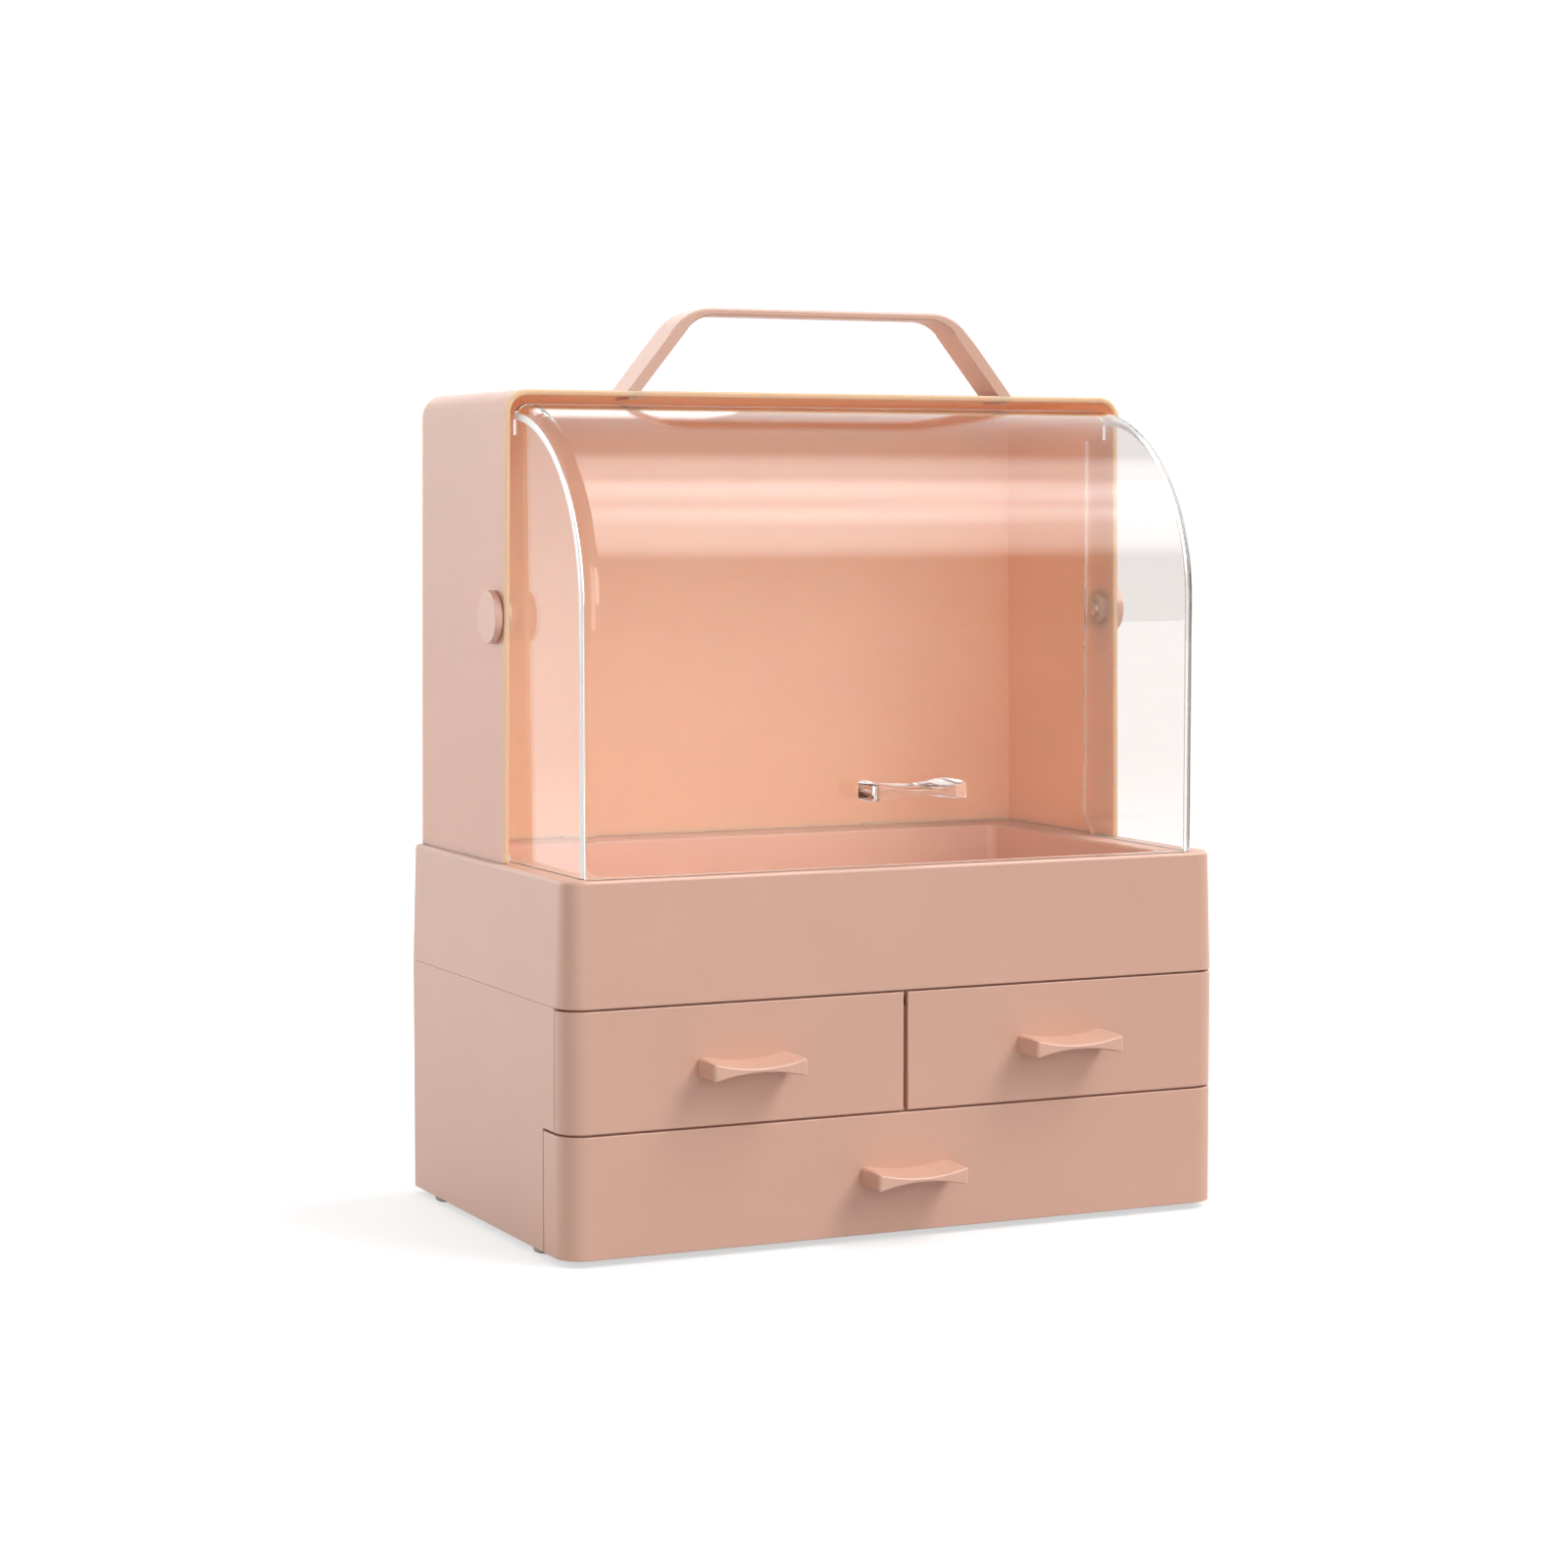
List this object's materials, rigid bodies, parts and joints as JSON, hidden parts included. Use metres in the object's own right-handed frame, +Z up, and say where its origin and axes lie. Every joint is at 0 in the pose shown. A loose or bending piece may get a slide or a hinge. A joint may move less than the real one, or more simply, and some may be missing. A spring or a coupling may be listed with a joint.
{
  "type": "makeup organizer",
  "caption": "Tabletop makeup organizer: drawer cabinet, open tray on top, and a dustproof hood whose clear curved visor swings up.",
  "frame": {"origin": "middle of the whole footprint, pulls included, on the surface that the feet stand on", "axes": "+X to the right seen from the front, +Y to the back, +Z up"},
  "size_m": [0.274, 0.1794, 0.3483],
  "materials": {
    "peach_plastic": "satin moulded plastic",
    "peach_trim": "satin moulded plastic",
    "clear_plastic": "clear polished plastic",
    "foot_rubber": "soft matte",
    "screw_steel": "zinc plated"
  },
  "bodies": {
    "cabinet": {"cabinet_shell": "peach_plastic", "drawer_shelf": "peach_plastic", "centre_partition": "peach_plastic", "tray": "peach_plastic", "hood": "peach_plastic", "pivot_button_left": "peach_trim", "pivot_button_right": "peach_trim", "carry_handle": "peach_trim", "foot_front_left": "foot_rubber", "foot_front_right": "foot_rubber", "foot_back_left": "foot_rubber", "foot_back_right": "foot_rubber", "tray_screws": "screw_steel"},
    "visor": {"visor": "clear_plastic", "visor_pull": "clear_plastic"},
    "lower_drawer": {"lower_drawer": "peach_plastic", "lower_pull": "peach_trim"},
    "left_drawer": {"left_drawer": "peach_plastic", "left_pull": "peach_trim"},
    "right_drawer": {"right_drawer": "peach_plastic", "right_pull": "peach_trim"}
  },
  "joints": [
    {"name": "visor_hinge", "type": "hinge", "parent": "cabinet", "child": "visor", "pos_m": [0, 0.0065, 0.23205], "axis": [-1, 0, 0], "range_deg": [0, 84]},
    {"name": "lower_drawer_slide", "type": "slide", "parent": "cabinet", "child": "lower_drawer", "axis": [0, -1, 0], "range_m": [0, 0.12]},
    {"name": "left_drawer_slide", "type": "slide", "parent": "cabinet", "child": "left_drawer", "axis": [0, -1, 0], "range_m": [0, 0.12]},
    {"name": "right_drawer_slide", "type": "slide", "parent": "cabinet", "child": "right_drawer", "axis": [0, -1, 0], "range_m": [0, 0.12]}
  ]
}
